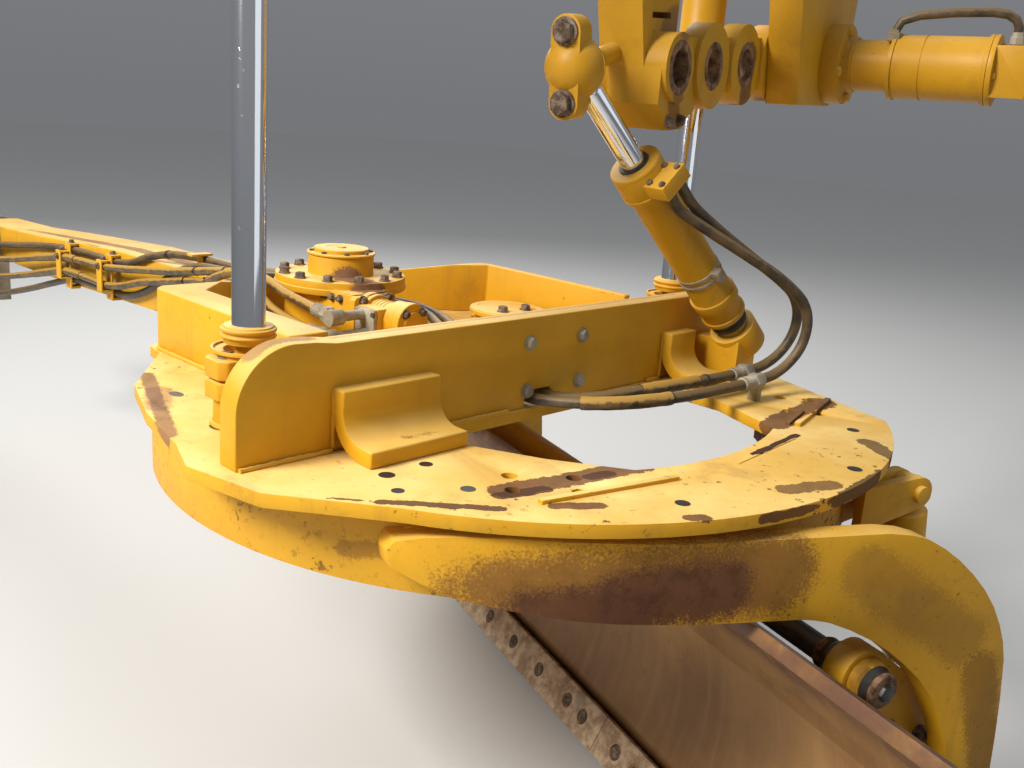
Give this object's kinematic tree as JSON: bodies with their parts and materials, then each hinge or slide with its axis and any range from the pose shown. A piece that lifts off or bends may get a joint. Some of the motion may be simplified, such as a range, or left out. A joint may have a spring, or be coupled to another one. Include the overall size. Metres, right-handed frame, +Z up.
{
  "type": "motor grader drawbar, circle and blade assembly",
  "caption": "Drawbar with a geared circle, curved arms, sliding and tipping blade, lift and centre-shift cylinders, and a link bar with a lock pin.",
  "frame": {"origin": "centre of the drawbar's ball, the piece's mount on the vehicle", "axes": "+X forward along the drawbar, +Y to the machine's left, +Z up; the circle is parked at 71 degrees"},
  "size_m": [5.3912, 2.4523, 2.6829],
  "materials": {
    "paint": "weathered yellow enamel with rust-brown wear",
    "plate_paint": "weathered yellow enamel with primer patches",
    "chrome": "hard-chromed rod",
    "steel": "bright worn steel",
    "blade_steel": "scoured brown steel with vertical grain",
    "edge_steel": "tan weathered edge steel",
    "rod_black": "black rod",
    "hose_rubber": "black hose rubber under dust and overspray",
    "cast": "greased cast iron"
  },
  "bodies": {
    "drawbar": {"drawbar_tongue": "paint", "drawbar_ball": "steel", "yoke_plate": "plate_paint", "yoke_walls": "paint", "cross_wall": "paint", "lift_sockets": "paint", "shift_socket": "paint", "circle_shoes": "cast", "drive_housing": "paint", "drive_motor": "paint", "access_cap": "paint", "hose_motor_upper": "hose_rubber", "hose_motor_lower": "hose_rubber", "hose_shift_upper": "hose_rubber", "hose_shift_lower": "hose_rubber", "hose_clamps": "paint", "hose_fittings": "steel"},
    "pinion": {"drive_pinion": "steel"},
    "circle": {"circle_ring": "paint", "circle_arm_left": "paint", "circle_arm_right": "paint", "tip_lug": "paint"},
    "tip": {"tip_bracket_left": "paint", "tip_bracket_right": "paint", "side_shift_rod": "rod_black"},
    "blade": {"moldboard": "blade_steel", "slide_rails": "steel", "cutting_edges": "edge_steel", "end_bits": "edge_steel", "side_shift_barrel": "paint"},
    "tip_tube": {"tip_barrel": "paint"},
    "tip_piston": {"tip_rod": "chrome"},
    "lift_left": {"lift_rod_left": "chrome"},
    "lift_right": {"lift_rod_right": "chrome"},
    "lift_tube_left": {"lift_barrel_left": "paint"},
    "lift_tube_right": {"lift_barrel_right": "paint"},
    "shift_tube": {"shift_barrel": "paint", "hose_loop_upper": "hose_rubber", "hose_loop_lower": "hose_rubber"},
    "shift_piston": {"shift_rod": "chrome", "ball_cap": "paint"},
    "link": {"link_bar": "paint", "lift_arm_left": "paint", "lift_arm_right": "paint", "saddle_plate": "paint", "lock_cylinder": "paint"},
    "lock": {"lock_pin": "steel"}
  },
  "joints": [
    {"name": "circle_turn", "type": "hinge", "parent": "drawbar", "child": "circle", "pos_m": [-3.3, 0, -0.01], "axis": [0, 0, 1], "continuous": true},
    {"name": "pinion_spin", "type": "hinge", "parent": "drawbar", "child": "pinion", "pos_m": [-2.70711, 0.03626, 0.09], "axis": [0, 0, 1], "continuous": true},
    {"name": "blade_tip", "type": "hinge", "parent": "circle", "child": "tip", "pos_m": [-3.46604, -0.48221, -0.635], "axis": [-0.9455, 0.3256, 0], "range_deg": [-1.2, 25]},
    {"name": "blade_side_shift", "type": "slide", "parent": "tip", "child": "blade", "axis": [-0.9455, 0.3256, 0], "range_m": [-0.8, 0.385]},
    {"name": "tip_tube_swing", "type": "hinge", "parent": "circle", "child": "tip_tube", "pos_m": [-4.09722, -0.34949, 0.005], "axis": [-0.9455, 0.3256, 0], "range_deg": [-11, 1]},
    {"name": "tip_rod_slide", "type": "slide", "parent": "tip_tube", "child": "tip_piston", "axis": [-0.0475, -0.1379, -0.9893], "range_m": [-0.06, 0.01]},
    {"name": "lift_left_swing", "type": "hinge", "parent": "drawbar", "child": "lift_left", "pos_m": [-3.268, 0.65, 0.187], "axis": [1, 0, 0], "range_deg": [-12, 12]},
    {"name": "lift_left_slide", "type": "slide", "parent": "lift_left", "child": "lift_tube_left", "axis": [0, 0, 1], "range_m": [-0.45, 0.35]},
    {"name": "lift_right_swing", "type": "hinge", "parent": "drawbar", "child": "lift_right", "pos_m": [-3.268, -0.65, 0.187], "axis": [0.9785, 0.2062, 0], "range_deg": [-12, 12]},
    {"name": "lift_right_slide", "type": "slide", "parent": "lift_right", "child": "lift_tube_right", "axis": [0, 0, 1], "range_m": [-0.45, 0.35]},
    {"name": "shift_swing", "type": "hinge", "parent": "drawbar", "child": "shift_tube", "pos_m": [-3.566, -0.504, 0.207], "axis": [0.9785, 0.2062, 0], "range_deg": [-8, 8]},
    {"name": "shift_slide", "type": "slide", "parent": "shift_tube", "child": "shift_piston", "axis": [0.1179, 0.6997, 0.7047], "range_m": [-0.02, 0.16]},
    {"name": "link_swing", "type": "hinge", "parent": "shift_piston", "child": "link", "pos_m": [-3.472, 0.054, 0.769], "axis": [0.9785, 0.2062, 0], "range_deg": [-6, 6]},
    {"name": "lock_pin_slide", "type": "slide", "parent": "link", "child": "lock", "axis": [-0.9785, -0.2062, 0], "range_m": [0, 0.11]}
  ],
  "couplings": [
    {"joint": "pinion_spin", "follows": "circle_turn", "ratio": 7.6},
    {"joint": "tip_tube_swing", "follows": "blade_tip", "ratio": -0.41},
    {"joint": "tip_rod_slide", "follows": "blade_tip", "m_per_rad": -0.121}
  ]
}
